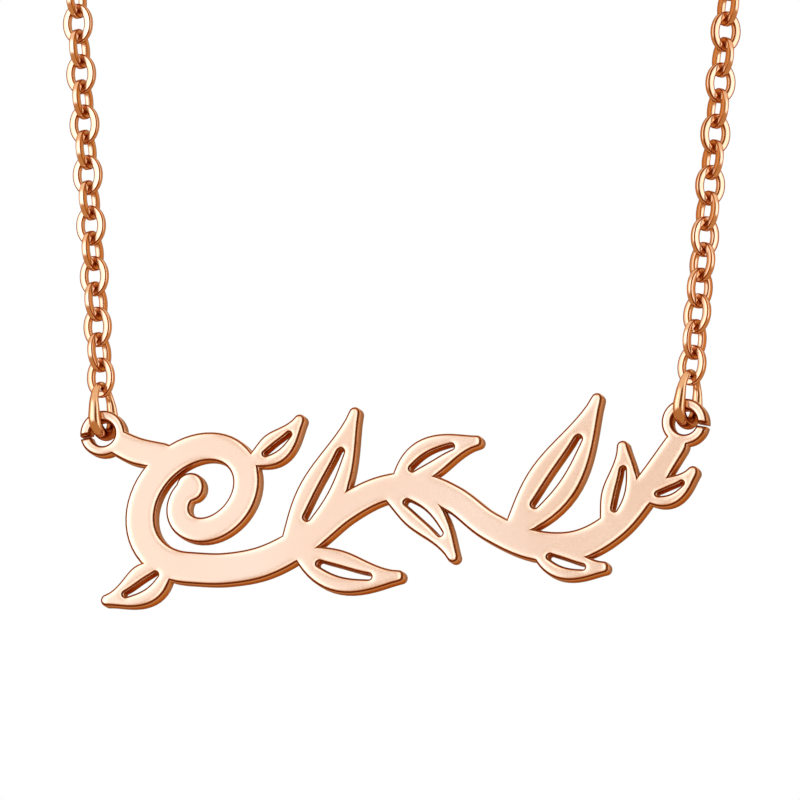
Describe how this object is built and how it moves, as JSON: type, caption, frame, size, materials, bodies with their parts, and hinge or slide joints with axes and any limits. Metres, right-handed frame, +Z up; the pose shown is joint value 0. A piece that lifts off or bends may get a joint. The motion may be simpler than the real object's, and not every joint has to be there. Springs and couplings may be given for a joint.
{
  "type": "nameplate necklace",
  "caption": "Necklace with a pierced nameplate in the form of a leafy vine, hung by jump rings from a cable chain of flat oval links that closes at a clasp; the plate swings on its rings.",
  "frame": {"origin": "under the clasp at the top of the loop, where the necklace hangs", "axes": "+Z up, +X to the right as the plate is seen from its front, which faces -Y"},
  "size_m": [0.0638, 0.0036, 0.1776],
  "materials": {
    "plate_metal": "mirror-polished rose gold plate",
    "ring_metal": "polished rose gold wire",
    "chain_metal": "polished flat rose gold links",
    "clasp_metal": "polished rose gold plate"
  },
  "bodies": {
    "chain_loop": {"chain_left": "chain_metal", "chain_right": "chain_metal", "jump_ring_left": "ring_metal", "jump_ring_right": "ring_metal", "end_ring_left": "ring_metal", "end_ring_right": "ring_metal", "clasp": "clasp_metal"},
    "plate": {"nameplate": "plate_metal"}
  },
  "joints": [
    {"name": "plate_swing", "type": "hinge", "parent": "chain_loop", "child": "plate", "pos_m": [0, 0, -0.15909], "axis": [1, 0, 0], "range_deg": [-40, 40]}
  ]
}
